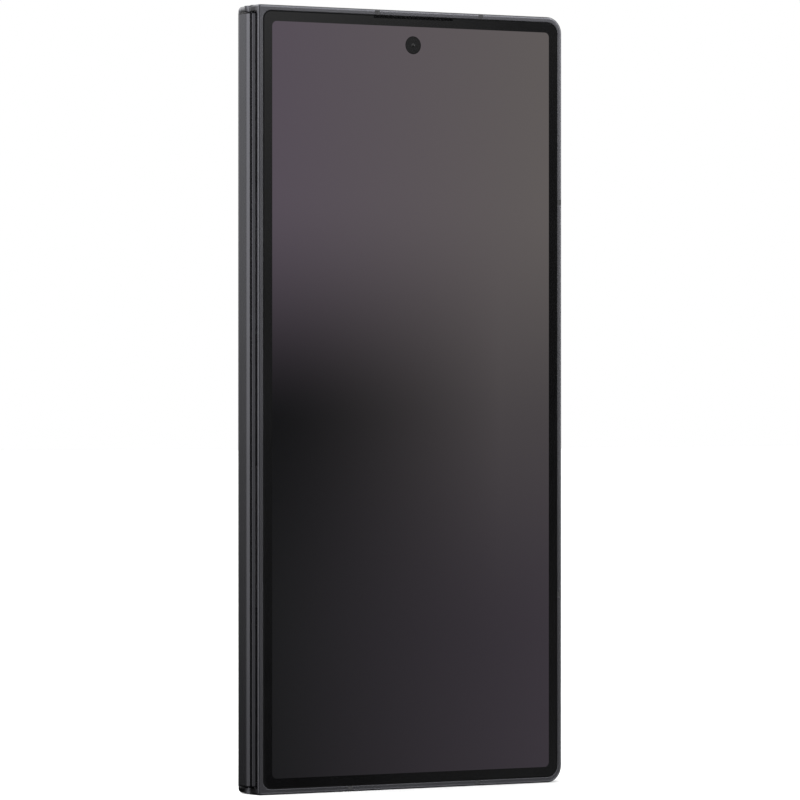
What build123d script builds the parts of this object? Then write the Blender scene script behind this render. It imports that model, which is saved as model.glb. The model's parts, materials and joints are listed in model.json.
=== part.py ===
"""Folding smartphone, shut and standing on its bottom edge, drawn as separate pieces.

Design frame, in mm: x runs from the spine (low) to the opening edge (high), z is up, and y = 0 is the
parting plane between the two halves. The cover-screen half lies at y < 0, the camera half at y > 0.
Both halves are drawn at y > 0, where y is the depth from the parting plane, and the cover-screen half
is mirrored. save() then shifts every piece so that the bounding box is centred over the origin.
"""

import math
import os

from build123d import *

# ---- overall size ----
SPINE_X = -36.4
EDGE_X = 36.4
HEIGHT = 158.4
RIM_DEPTH = 0.25
SKIN_DEPTH = 4.45

# ---- hinge geometry: both axes are parallel to z, at (AXIS_X, -AXIS_Y) and (AXIS_X, +AXIS_Y) ----
AXIS_X = -34.0
AXIS_Y = 1.2
SHAFT_RADIUS = 0.30
SHAFT_HOLE = 0.31
SHAFT_BORE = 0.33
SHAFT_Z = (0.4, 158.0)
SPINE_RADIUS = 2.4
SPINE_WALL = 0.45
SPINE_Z = (1.5, 156.9)
SPINE_LIP_X = -35.17
SPINE_GROOVE_ANGLE = 37.1
SPINE_GROOVE_FLANK = 0.36
BLOCK_RADIUS = 1.93
BLOCK_TOP_X = -33.60
BLOCK_Z = ((2.6, 34.0), (66.0, 92.4), (124.4, 155.8))
TORQUE_PLATE_Z = ((34.02, 37.62), (120.8, 124.4))
TORQUE_PLATE_COUNT = 4
TORQUE_PLATE_GAP = 0.02
TORQUE_PLATE_RADIUS = 0.95
TORQUE_PLATE_NECK_X = (-34.4, -33.75)
TORQUE_BORE = 0.32
STRIP_X = (-33.70, -33.58)
STRIP_HALF_WIDTH = 0.75
STRIP_PLAY = 0.02
SPINE_SCREW_Z = (8.0, 28.0, 71.0, 87.4, 130.4, 150.4)
SPINE_SCREW_HEAD = (0.55, -34.25, -33.8)
SPINE_SCREW_SHANK = (0.3, -35.9, -34.25)
SPINE_SCREW_PLAY = 0.03

# ---- sync gears ----
GEAR_TEETH = 12
GEAR_PITCH_RADIUS = AXIS_Y
GEAR_TIP_RADIUS = 1.36
GEAR_ROOT_RADIUS = 0.98
GEAR_PRESSURE_ANGLE = 25.0
GEAR_BACKLASH = 0.04
GEAR_FLANK_STEPS = 5
GEAR_Z = ((1.5, 2.3), (156.1, 156.9))

# ---- folding part of the main screen ----
FOLD_LENGTH = 5.5
FOLD_START_DEPTH = 0.35
FOLD_FLAT_X = -29.7
FOLD_REACH = 3.4
FOLD_TILT = 15.0
FOLD_STEPS = 22
FOLD_LAYERS = (0.35, 0.70)

# ---- frames ----
END_WALL = 1.3
FAR_CORNER = 3.4
SQUARE_CORNER = 0.1
FRONT_RIM = (0.4, 0.25)
REAR_RIM = (0.9, 0.45)
INNER_CHAMFER = 0.15
HINGE_EDGE_X = -35.15
WALL_DEPTH = 3.70
KNUCKLE_RADIUS = 1.15
SPINE_CLEARANCE = 2.55
SCREEN_POCKET_X = (-29.2, 35.0)
FOLD_POCKET_DEPTH = 2.8
LEDGE_DEPTH = 1.12
POCKET_CORNER = 2.4
CAVITY_CORNER = 2.0
FRONT_CAVITY = ((-28.3, 33.6), (1.12, 3.20), (4.0, 154.4))
REAR_CAVITY = ((-28.3, 34.6), (1.50, 3.95), (3.6, 154.8))
SKIN_POCKET_X = (-34.1, 35.35)
SKIN_POCKET_DEPTH = 3.93
SKIN_POCKET_Z = (1.1, 157.3)
SKIN_HINGE_CORNER = 1.8
SKIN_FAR_CORNER = 2.4
SKIN_GAP = 0.15
SKIN_DEPTHS = (3.94, 4.44)
COVER_PANEL_POCKET = ((-32.5, 33.75), (3.58, 3.94), (2.8, 155.6))
COVER_PANEL_CORNER = 1.2
COVER_PANEL_DEPTHS = (3.60, 3.92)
PANEL_GAP = 0.05

# ---- antenna breaks: plastic across the metal rim ----
ANTENNA_WIDTH = 1.1
ANTENNA_REACH = 1.1
ANTENNA_TOP_X = (-7.7, 16.8)
ANTENNA_BOTTOM_X = (-14.0, 16.0)
ANTENNA_SIDE_Z = (120.0, 38.9)
REAR_ANTENNA_SIDE_Z = (132.0, 38.9)

# ---- main screen, its steel support and its edge trim, alike on both halves ----
SCREEN_X = (-29.7, 34.6)
SCREEN_DEPTHS = (0.35, 0.75)
SCREEN_Z = (2.6, 155.8)
SCREEN_CORNER = 2.0
SUPPORT_X = (-29.1, 34.8)
SUPPORT_DEPTHS = (0.77, 1.10)
SUPPORT_Z = (1.6, 156.8)
SUPPORT_CORNER = 2.2
TRIM_DEPTHS = (0.06, 0.33)
TRIM_OUTER = ((-32.4, 34.9), (1.4, 157.0))
TRIM_INNER = ((-34.0, 32.8), (3.7, 154.7))
TRIM_OUTER_CORNER = 2.3
TRIM_INNER_CORNER = 1.6

# ---- contents of both halves ----
OVERCUT = 0.1
PART_CORNER = 1.0
BATTERY_CORNER = 1.5
CAN_CORNER = 0.8
CAN_WALL = 0.15
CAMERA_BASE_CORNER = 0.5

# ---- front half contents ----
COVER_CAMERA_XZ = (0.7, 151.4)
COVER_CAMERA_DEPTHS = (1.4, 3.90)
COVER_CAMERA_RADIUS = 1.85
COVER_CAMERA_BASE = (2.6, 1.4, 2.6)
COVER_CAMERA_HOLE = 1.95
EARPIECE_X = (-8.45, 10.05)
EARPIECE_Z = (156.72, 157.4)
GRILLE_INSET = 0.06
GRILLE_DEPTHS = (3.96, 4.30)
GRILLE_SLITS = 18
GRILLE_SLIT = (0.5, 0.15)
SPEAKER = ((5.0, 17.0), (1.4, 3.1), (146.5, 154.0))
SPEAKER_CONE = ((6.5, 15.5), (1.3, 1.6), (147.8, 152.7))
SPEAKER_CONE_CORNER = 1.5
FRONT_BATTERY = ((-27.3, 31.0), (1.3, 3.05), (40.0, 112.0))
FRONT_BOARD = ((-27.3, 31.0), (2.4, 3.0), (114.0, 137.0))
FRONT_CANS = (
    ((-23.0, -3.0), (116.0, 135.0)),
    ((-1.0, 12.0), (116.0, 135.0)),
    ((14.0, 26.5), (118.0, 133.0)),
)
FRONT_CAN_DEPTHS = (1.35, 2.38)
FRONT_SCREW_XZ = ((-25.2, 116.4), (-25.2, 134.6), (28.8, 116.4), (28.8, 134.6))
FRONT_SCREW_SHANK = (0.5, 2.38, 3.48)
FRONT_SCREW_HEAD = (1.05, 1.80, 2.38)
FRONT_SCREW_HOLE = (2.9, 3.5)
FRONT_BOSS_DEPTHS = (3.02, 3.21)
BOSS_RADIUS = 1.3
SCREW_PLAY = 0.04
FRONT_MAGNETS = (((31.6, 33.4), (18.0, 32.0)), ((31.6, 33.4), (124.0, 138.0)))
FRONT_MAGNET_DEPTHS = (1.3, 3.1)
MAGNET_ROUND = 0.3

# ---- SIM tray, drawn out of the top edge of the front half ----
TRAY_HEAD_X = (-26.2, -11.2)
TRAY_HEAD_DEPTHS = (1.35, 3.35)
TRAY_HEAD_Z = (156.9, 158.38)
TRAY_HEAD_ROUND = 0.98
TRAY_PLAY = 0.08
TRAY_ARMS = ((-25.4, -12.0), (1.65, 2.45), (140.6, 156.95))
TRAY_CARD = ((-24.6, -12.8), (1.85, 2.60), (142.4, 151.0))
CARD_CORNER = 0.6
TRAY_WINDOW = ((-23.6, -13.8), (1.60, 2.50), (143.4, 150.0))
TRAY_PIN_HOLE = (-24.6, 2.35, 0.4)
READER = ((-26.4, -11.0), (1.25, 2.85), (139.6, 154.2))
READER_WALL = 0.15

# ---- rear half contents ----
ISLAND_X = (14.5, 32.0)
ISLAND_DEPTHS = (4.45, 5.75)
ISLAND_Z = (100.0, 152.5)
ISLAND_ROUND = 8.7
ISLAND_EDGE = 0.45
LENS_X = 23.25
LENS_Z = (110.25, 126.25, 142.25)
GLASS_HOLE = 4.8
ISLAND_BORE = 5.6
RING_SLEEVE = (5.55, 4.47, 5.80)
RING_FLANGE = (6.5, 5.77, 6.65)
RING_HOLE = 4.7
RING_EDGE = 0.3
LENS_DISC = (4.66, 5.95, 6.45)
MODULE_BARREL = (4.4, 3.5, 5.9)
MODULE_BASE = (5.2, 1.6, 3.6)
FLASH_XZ = (8.6, 142.25)
FLASH_RADIUS = 2.0
FLASH_PLAY = 0.04
FLASH_DEPTHS = (3.2, 4.44)
INNER_CAMERA_XZ = (2.0, 150.6)
INNER_CAMERA_RADIUS = 1.7
INNER_CAMERA_DEPTHS = (0.45, 3.2)
INNER_CAMERA_BASE = (2.4, 1.6, 3.2)
INNER_CAMERA_HOLE = 1.8
REAR_BATTERY = ((-27.5, 30.6), (1.6, 3.35), (24.0, 96.0))
MAIN_BOARD = ((-27.5, 13.0), (1.70, 2.30), (98.0, 146.0))
LOWER_BOARD = ((-15.0, 10.6), (1.70, 2.30), (7.6, 21.5))
REAR_CANS = (
    ((-22.5, -6.0), (101.0, 121.0)),
    ((-4.0, 8.0), (101.0, 121.0)),
    ((-22.5, 4.0), (123.5, 142.0)),
)
REAR_CAN_DEPTHS = (2.32, 3.5)
MAIN_SCREW_XZ = ((-25.2, 100.4), (10.8, 100.4), (-25.2, 143.6), (10.8, 137.5))
LOWER_SCREW_XZ = ((-12.8, 19.3), (8.4, 19.3))
REAR_SCREW_XZ = MAIN_SCREW_XZ + LOWER_SCREW_XZ
REAR_SCREW_SHANK = (0.5, 1.20, 2.32)
REAR_SCREW_HEAD = (1.05, 2.32, 2.90)
REAR_SCREW_HOLE = (1.16, 1.8)
REAR_BOSS_DEPTHS = (1.49, 1.68)
COIL_XZ = (1.5, 60.0)
COIL_TURNS = (10.5, 12.6, 14.7, 16.8, 18.9)
COIL_TRACK = 1.5
COIL_DEPTHS = (3.58, 3.80)
COIL_LINK = (0.6, 11.0, 20.0)
COIL_SHEET_RADIUS = 22.0
COIL_SHEET_DEPTHS = (3.44, 3.56)
LOUDSPEAKER = ((12.2, 30.0), (1.6, 3.7), (6.0, 20.5))
SOUND_HOLE_X = (18.4, 20.8, 23.2, 25.6, 28.0)
SOUND_HOLE_RADIUS = 0.55
MIC_HOLE_X = -9.0
MIC_HOLE_RADIUS = 0.35
BOTTOM_HOLE_DEPTH = 2.45
BOTTOM_HOLE_Z = (-0.5, 4.0)
MOTOR = ((-26.5, -17.0), (1.6, 3.6), (7.0, 17.0))
MOTOR_ROUND = 1.2
REAR_MAGNETS = (((31.2, 33.0), (18.0, 32.0)), ((31.2, 33.0), (124.0, 138.0)))
REAR_MAGNET_DEPTHS = (1.6, 3.4)

# ---- charging socket in the bottom edge of the rear half ----
USB_HALF_WIDTH = 4.37
USB_HALF_DEPTH = 1.48
USB_ROUND = 1.40
USB_WALL = 0.20
USB_DEPTH = 2.45
USB_Z = (0.12, 7.2)
USB_PLAY = 0.02
USB_FLOOR_Z = 6.6
TONGUE = ((-3.34, 3.34), (2.10, 2.80), (1.4, 6.1))
TONGUE_BASE = ((-4.1, 4.1), (1.24, 3.66), (6.0, 6.58))
TONGUE_BASE_ROUND = 1.15
USB_NOTCH = ((-5.4, 5.4), (0.5, 1.6), (1.29, 8.2))

# ---- keys in the opening edge of the rear half ----
KEY_DEPTHS = (1.93, 3.27)
KEY_PLAY = 0.08
KEY_FACE_X = 36.85
KEY_CAP_ROUND = 0.6
KEY_FACE_ROUND = 0.2
KEY_FLANGE_X = (34.15, 34.52)
KEY_FLANGE_RIM = 0.35
VOLUME_KEY_Z = (99.0, 121.0)
SIDE_KEY_Z = (82.0, 93.0)
SWITCH_STRIP = ((33.25, 33.45), (1.8, 3.4), (80.0, 123.0))
SWITCH_DOME_Z = (87.5, 104.5, 115.5)
SWITCH_DOME = (0.75, 33.45, 33.8)

# ---- what the bounding box is centred by: the key caps and the camera rings stick out on one side ----
SHIFT_X = -(SPINE_X + KEY_FACE_X) / 2
SHIFT_Y = -(RING_FLANGE[2] - SKIN_DEPTH) / 2


def block(x, y, z):
    """Box between the low and high values of each pair."""
    size = Box(x[1] - x[0], y[1] - y[0], z[1] - z[0])
    return Pos(sum(x) / 2, sum(y) / 2, sum(z) / 2) * size


def plate(x, y, z, hinge_radius, far_radius):
    """Box with one corner radius on the hinge side and another on the opening side, seen from the front."""
    body = block(x, y, z)
    body = fillet(body.edges().filter_by(Axis.Y).sort_by(Axis.X)[-2:], far_radius)
    return fillet(body.edges().filter_by(Axis.Y).sort_by(Axis.X)[:2], hinge_radius)


def across(x, z, radius, low, high):
    """Round bar through the thickness of the phone, between two depths."""
    return Pos(x, (low + high) / 2, z) * Rot(90, 0, 0) * Cylinder(radius, high - low)


def along(x, y, radius, z):
    """Round bar parallel to the hinge, between the pair of heights z."""
    return Pos(x, y, sum(z) / 2) * Cylinder(radius, z[1] - z[0])


def sideways(y, z, radius, low, high):
    """Round bar parallel to x, between two values of x."""
    return Pos((low + high) / 2, y, z) * Rot(0, 90, 0) * Cylinder(radius, high - low)


def front(shape):
    """The same shape on the cover-screen half."""
    return mirror(shape, about=Plane.XZ)


def grown(pair, amount):
    """A low and high pair moved apart by amount at both ends."""
    return (pair[0] - amount, pair[1] + amount)


def save(node, shape):
    """Write one piece, shifted from the design frame to the part's own frame."""
    export_step(Pos(SHIFT_X, SHIFT_Y, 0) * shape, f"parts/{node}.step")


def fold_share(x, y):
    """Share of the fold a point of the closed screen has already turned: 0 on the flat, 1 at the spine."""
    tilt = math.radians(FOLD_TILT)
    travel = (FOLD_FLAT_X - x) * math.cos(tilt) + (FOLD_START_DEPTH - y) * math.sin(tilt)
    step = min(1.0, max(0.0, travel / FOLD_REACH))
    return step * step * (3 - 2 * step)


def fold_point(distance, layer):
    """Where a point of the opened, flat screen lies when the phone is shut.

    distance is measured from the middle of the fold and layer from the parting plane. The point is
    turned back about the hinge axis by the part of a quarter turn that the fold leaves to its half.
    """
    flat_x = AXIS_Y - layer
    flat_y = distance - AXIS_Y
    low, high = 0.0, 1.0
    for _ in range(60):
        share = (low + high) / 2
        angle = -(1 - share) * math.pi / 2
        x = AXIS_X + flat_x * math.cos(angle) - flat_y * math.sin(angle)
        y = AXIS_Y + flat_x * math.sin(angle) + flat_y * math.cos(angle)
        if fold_share(x, y) > share:
            low = share
        else:
            high = share
    return (x, y)


def folded_sheet(layers, z):
    """Flexible sheet between two layers, carried round the hinge from one half to the other."""
    distances = [FOLD_LENGTH * i / FOLD_STEPS for i in range(FOLD_STEPS + 1)]
    curves = []
    for layer in layers:
        side = [fold_point(distance, layer) for distance in distances]
        other = [(x, -y) for x, y in side[:0:-1]]
        curves.append(other + side)
    inner, outer = curves
    edges = [
        Spline(*inner),
        Line(inner[-1], outer[-1]),
        Spline(*outer),
        Line(outer[0], inner[0]),
    ]
    face = Face(Wire(edges))
    return Pos(0, 0, z[0]) * extrude(face, amount=z[1] - z[0], dir=(0, 0, 1))


def stadium(radius, z, right_x):
    """Outline of the spine: two discs on the hinge axes and the flat between them, cut off at right_x."""
    body = along(AXIS_X, AXIS_Y, radius, z) + along(AXIS_X, -AXIS_Y, radius, z)
    body += block((AXIS_X - radius, AXIS_X), (-AXIS_Y, AXIS_Y), z)
    return body & block((SPINE_X - 1, right_x), (-AXIS_Y - radius - 1, AXIS_Y + radius + 1), z)


def gear(turn, z):
    """Spur gear on its own axis, with a tooth pointing at the angle turn (degrees)."""
    pressure = math.radians(GEAR_PRESSURE_ANGLE)
    base = GEAR_PITCH_RADIUS * math.cos(pressure)
    tooth = math.pi * GEAR_PITCH_RADIUS / GEAR_TEETH - GEAR_BACKLASH
    half_at_pitch = tooth / 2 / GEAR_PITCH_RADIUS
    flank = []
    for i in range(GEAR_FLANK_STEPS + 1):
        radius = base + (GEAR_TIP_RADIUS - base) * i / GEAR_FLANK_STEPS
        at = math.acos(min(1.0, base / radius))
        half = half_at_pitch + math.tan(pressure) - pressure - (math.tan(at) - at)
        flank.append((radius, half))
    flank.insert(0, (GEAR_ROOT_RADIUS, flank[0][1]))
    points = []
    for i in range(GEAR_TEETH):
        centre = math.radians(turn) + 2 * math.pi * i / GEAR_TEETH
        rising = [(radius, centre - half) for radius, half in flank]
        falling = [(radius, centre + half) for radius, half in flank[::-1]]
        points += [(radius * math.cos(a), radius * math.sin(a)) for radius, a in rising + falling]
    face = Face(Wire(Polyline(*points, close=True).edges()))
    body = Pos(0, 0, z[0]) * extrude(face, amount=z[1] - z[0], dir=(0, 0, 1))
    return body - along(0, 0, SHAFT_HOLE, z)


def rim(hinge_corner, outer_chamfer):
    """Outside of one half, hollowed for the main screen, for the fold and for the spine to turn in."""
    body = plate((HINGE_EDGE_X, EDGE_X), (RIM_DEPTH, SKIN_DEPTH), (0, HEIGHT), hinge_corner, FAR_CORNER)
    body = chamfer(body.faces().sort_by(Axis.Y)[-1].edges(), outer_chamfer)
    body = chamfer(body.faces().sort_by(Axis.Y)[0].edges().filter_by(Axis.Y, reverse=True), INNER_CHAMFER)
    inside_z = (END_WALL, HEIGHT - END_WALL)
    for z in ((0, END_WALL), (HEIGHT - END_WALL, HEIGHT)):
        notch = block((HINGE_EDGE_X - 1, AXIS_X), (0, AXIS_Y), z)
        body = body - notch + along(AXIS_X, AXIS_Y, KNUCKLE_RADIUS, z)
    body -= plate(SCREEN_POCKET_X, (0, LEDGE_DEPTH), inside_z, SQUARE_CORNER, POCKET_CORNER)
    body -= block((HINGE_EDGE_X - 1, SCREEN_POCKET_X[0] + 0.2), (0, FOLD_POCKET_DEPTH), inside_z)
    body -= along(AXIS_X, AXIS_Y, SPINE_CLEARANCE, inside_z)
    body -= block((HINGE_EDGE_X - 1, AXIS_X), (0, WALL_DEPTH), inside_z)
    pocket_depth = (SKIN_POCKET_DEPTH, SKIN_DEPTH + 1)
    body -= plate(SKIN_POCKET_X, pocket_depth, SKIN_POCKET_Z, SKIN_HINGE_CORNER, SKIN_FAR_CORNER)
    return body - along(AXIS_X, AXIS_Y, SHAFT_HOLE, SHAFT_Z)


def skin():
    """Pane of glass that fills the pocket in the outer face of one half."""
    x = grown(SKIN_POCKET_X, -SKIN_GAP)
    z = grown(SKIN_POCKET_Z, -SKIN_GAP)
    return plate(x, SKIN_DEPTHS, z, SKIN_HINGE_CORNER - SKIN_GAP, SKIN_FAR_CORNER - SKIN_GAP)


def antenna_breaks(side_heights):
    """Bars that cross the rim wherever plastic parts the metal."""
    depth = (RIM_DEPTH - 1, SKIN_DEPTH + 1)
    half = ANTENNA_WIDTH / 2
    bars = [block((x - half, x + half), depth, (HEIGHT - ANTENNA_REACH, HEIGHT + 1)) for x in ANTENNA_TOP_X]
    bars += [block((x - half, x + half), depth, (-1, ANTENNA_REACH)) for x in ANTENNA_BOTTOM_X]
    bars += [block((EDGE_X - ANTENNA_REACH, EDGE_X + 1), depth, (z - half, z + half)) for z in side_heights]
    return Part() + bars


def rounded(x, y, z, radius, axis):
    """Box with the four edges parallel to axis rounded."""
    body = block(x, y, z)
    return fillet(body.edges().filter_by(axis), radius)


def shield_cans(places, depths, top_face_low):
    """Pressed-metal boxes, closed on one side and open towards the board."""
    cans = []
    for x, z in places:
        inner = (depths[0] - 1, depths[1] - CAN_WALL)
        if top_face_low:
            inner = (depths[0] + CAN_WALL, depths[1] + 1)
        can = rounded(x, depths, z, CAN_CORNER, Axis.Y)
        cans.append(can - block(grown(x, -CAN_WALL), inner, grown(z, -CAN_WALL)))
    return Part() + cans


def camera_base(x, z, half, low, high):
    """Square housing behind a small camera."""
    return rounded((x - half, x + half), (low, high), (z - half, z + half), CAMERA_BASE_CORNER, Axis.Y)


def screws(places, shank, head):
    """Identical small screws through the thickness."""
    parts = []
    for x, z in places:
        parts.append(across(x, z, *shank) + across(x, z, *head))
    return Part() + parts


def screw_holes(places, low, high):
    """Clearance for those screws."""
    return Part() + [across(x, z, FRONT_SCREW_SHANK[0] + SCREW_PLAY, low, high) for x, z in places]


def magnets(places, depths):
    """Closing magnets along the opening edge."""
    return Part() + [rounded(x, depths, z, MAGNET_ROUND, Axis.Z) for x, z in places]


def save_hinge():
    """Everything that stays with the spine."""
    cover = stadium(SPINE_RADIUS, SPINE_Z, SPINE_LIP_X)
    cover -= stadium(SPINE_RADIUS - SPINE_WALL, SPINE_Z, SPINE_LIP_X + 1)
    half = SPINE_GROOVE_FLANK / 2
    cutter = Pos(-SPINE_RADIUS, 0, 0) * Rot(0, 0, 45) * block((-half, half), (-half, half), SPINE_Z)
    for side in (-1, 1):
        cover -= Pos(AXIS_X, side * AXIS_Y, 0) * Rot(0, 0, -side * SPINE_GROOVE_ANGLE) * cutter
    save("spine_cover", cover)

    blocks = Part() + [stadium(BLOCK_RADIUS, z, BLOCK_TOP_X) for z in BLOCK_Z]
    channel_y = grown((-STRIP_HALF_WIDTH, STRIP_HALF_WIDTH), STRIP_PLAY)
    channel = block((STRIP_X[0] - STRIP_PLAY, STRIP_X[1] + 1), channel_y, SPINE_Z)
    blocks -= channel
    for side in (-1, 1):
        blocks -= along(AXIS_X, side * AXIS_Y, SHAFT_BORE, SPINE_Z)
    screw_parts = []
    for z in SPINE_SCREW_Z:
        head = sideways(0, z, *SPINE_SCREW_HEAD)
        shank = sideways(0, z, *SPINE_SCREW_SHANK)
        screw_parts.append(head + shank)
        blocks -= sideways(0, z, SPINE_SCREW_HEAD[0] + SPINE_SCREW_PLAY, SPINE_SCREW_HEAD[1], BLOCK_TOP_X + 1)
        blocks -= sideways(0, z, SPINE_SCREW_SHANK[0] + SPINE_SCREW_PLAY, SPINE_X, SPINE_SCREW_HEAD[1])
    save("hinge_blocks", blocks)
    save("spine_screws", Part() + screw_parts)

    plates = []
    for low, high in TORQUE_PLATE_Z:
        pitch = (high - low) / TORQUE_PLATE_COUNT
        for i in range(TORQUE_PLATE_COUNT):
            z = (low + i * pitch, low + (i + 1) * pitch - TORQUE_PLATE_GAP)
            eyes = Part() + [along(AXIS_X, y, TORQUE_PLATE_RADIUS, z) for y in (-AXIS_Y, AXIS_Y)]
            body = eyes & block((SPINE_X, BLOCK_TOP_X), (-SKIN_DEPTH, SKIN_DEPTH), z)
            body = body + block(TORQUE_PLATE_NECK_X, (-AXIS_Y, AXIS_Y), z) - channel
            for side in (-1, 1):
                body -= along(AXIS_X, side * AXIS_Y, TORQUE_BORE, z)
            plates.append(body)
    save("torque_plates", Part() + plates)

    save("display_support_strip", block(STRIP_X, (-STRIP_HALF_WIDTH, STRIP_HALF_WIDTH), SCREEN_Z))
    save("main_display_fold", folded_sheet(FOLD_LAYERS, SCREEN_Z))


def save_half_common(name, place, breaks, frame, support_holes, screen_holes):
    """Pieces of the same design on both halves."""
    save(f"{name}_frame", place(frame - breaks))
    save(f"{name}_antenna_breaks", place(frame & breaks))

    shaft = along(AXIS_X, AXIS_Y, SHAFT_RADIUS, SHAFT_Z)
    save(f"{name}_shaft", place(shaft))

    screen = plate(SCREEN_X, SCREEN_DEPTHS, SCREEN_Z, SQUARE_CORNER, SCREEN_CORNER)
    save(f"main_display_{name}", place(screen - screen_holes))

    support = plate(SUPPORT_X, SUPPORT_DEPTHS, SUPPORT_Z, SQUARE_CORNER, SUPPORT_CORNER)
    save(f"{name}_support_plate", place(support - support_holes))

    (outer_x, outer_z), (inner_x, inner_z) = TRIM_OUTER, TRIM_INNER
    trim = plate(outer_x, TRIM_DEPTHS, outer_z, SQUARE_CORNER, TRIM_OUTER_CORNER)
    trim -= plate(inner_x, grown(TRIM_DEPTHS, 1), inner_z, SQUARE_CORNER, TRIM_INNER_CORNER)
    save(f"{name}_screen_trim", place(trim))


def save_front_half():
    """Cover-screen half."""
    frame = rim(*FRONT_RIM)
    frame -= rounded(*FRONT_CAVITY, CAVITY_CORNER, Axis.Y)
    frame -= rounded(*COVER_PANEL_POCKET, COVER_PANEL_CORNER, Axis.Y)
    bosses = [across(x, z, BOSS_RADIUS, *FRONT_BOSS_DEPTHS) for x, z in FRONT_SCREW_XZ]
    frame = frame + bosses
    frame -= screw_holes(FRONT_SCREW_XZ, *FRONT_SCREW_HOLE)
    frame -= across(*COVER_CAMERA_XZ, COVER_CAMERA_HOLE, FRONT_CAVITY[1][1] - OVERCUT, SKIN_DEPTH)
    tray_bore_x = grown(TRAY_HEAD_X, TRAY_PLAY)
    tray_bore_depth = grown(TRAY_HEAD_DEPTHS, TRAY_PLAY)
    tray_bore_z = (FRONT_CAVITY[2][1] - OVERCUT, HEIGHT + 1)
    frame -= rounded(tray_bore_x, tray_bore_depth, tray_bore_z, TRAY_HEAD_ROUND + TRAY_PLAY, Axis.Z)
    nothing = Part()
    save_half_common("front", front, antenna_breaks(ANTENNA_SIDE_Z), frame, nothing, nothing)

    gears = [Pos(AXIS_X, AXIS_Y, 0) * gear(-90, z) for z in GEAR_Z]
    save("front_gears", front(Part() + gears))

    save("cover_glass", front(skin() - block(EARPIECE_X, (0, SKIN_DEPTH + 1), EARPIECE_Z)))
    grille_z = (EARPIECE_Z[0] + GRILLE_INSET, SKIN_POCKET_Z[1] - SKIN_GAP)
    grille = block(grown(EARPIECE_X, -GRILLE_INSET), GRILLE_DEPTHS, grille_z)
    pitch = (EARPIECE_X[1] - EARPIECE_X[0] - 2 * GRILLE_INSET) / GRILLE_SLITS
    slit_z = (grille.center().Z - GRILLE_SLIT[1] / 2, grille.center().Z + GRILLE_SLIT[1] / 2)
    for i in range(GRILLE_SLITS):
        x = EARPIECE_X[0] + GRILLE_INSET + (i + 0.5) * pitch
        grille -= block((x - GRILLE_SLIT[0] / 2, x + GRILLE_SLIT[0] / 2), grown(GRILLE_DEPTHS, 1), slit_z)
    save("earpiece_grille", front(grille))
    panel_x = grown(COVER_PANEL_POCKET[0], -PANEL_GAP)
    panel_z = grown(COVER_PANEL_POCKET[2], -PANEL_GAP)
    panel = rounded(panel_x, COVER_PANEL_DEPTHS, panel_z, COVER_PANEL_CORNER - PANEL_GAP, Axis.Y)
    panel -= across(*COVER_CAMERA_XZ, COVER_CAMERA_HOLE, *grown(COVER_PANEL_DEPTHS, 1))
    save("cover_display", front(panel))
    camera = across(*COVER_CAMERA_XZ, COVER_CAMERA_RADIUS, *COVER_CAMERA_DEPTHS)
    save("cover_camera", front(camera + camera_base(*COVER_CAMERA_XZ, *COVER_CAMERA_BASE)))

    cone = rounded(*SPEAKER_CONE, SPEAKER_CONE_CORNER, Axis.Y)
    save("earpiece_speaker", front(rounded(*SPEAKER, PART_CORNER, Axis.Y) + cone))
    save("front_battery", front(rounded(*FRONT_BATTERY, BATTERY_CORNER, Axis.Y)))
    board_holes = screw_holes(FRONT_SCREW_XZ, *grown(FRONT_BOARD[1], 1))
    save("front_board", front(rounded(*FRONT_BOARD, PART_CORNER, Axis.Y) - board_holes))
    save("front_shield_cans", front(shield_cans(FRONT_CANS, FRONT_CAN_DEPTHS, True)))
    save("front_screws", front(screws(FRONT_SCREW_XZ, FRONT_SCREW_SHANK, FRONT_SCREW_HEAD)))
    save("front_magnets", front(magnets(FRONT_MAGNETS, FRONT_MAGNET_DEPTHS)))

    reader = block(*READER)
    reader_x, reader_depth, reader_z = READER
    inside_z = (reader_z[0] + READER_WALL, HEIGHT)
    reader -= block(grown(reader_x, -READER_WALL), grown(reader_depth, -READER_WALL), inside_z)
    save("sim_reader", front(reader))
    head = rounded(TRAY_HEAD_X, TRAY_HEAD_DEPTHS, TRAY_HEAD_Z, TRAY_HEAD_ROUND, Axis.Z)
    tray = head + block(*TRAY_ARMS) - rounded(*TRAY_CARD, CARD_CORNER, Axis.Y) - block(*TRAY_WINDOW)
    tray -= along(*TRAY_PIN_HOLE, (TRAY_ARMS[2][1] - 1, HEIGHT))
    save("sim_tray", front(tray))


def key(z):
    """Key cap through the wall, with the flange that keeps it in."""
    cap = rounded((KEY_FLANGE_X[0], KEY_FACE_X), KEY_DEPTHS, z, KEY_CAP_ROUND, Axis.X)
    cap = fillet(cap.faces().sort_by(Axis.X)[-1].edges(), KEY_FACE_ROUND)
    return cap + block(KEY_FLANGE_X, grown(KEY_DEPTHS, KEY_FLANGE_RIM), grown(z, KEY_FLANGE_RIM))


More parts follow.
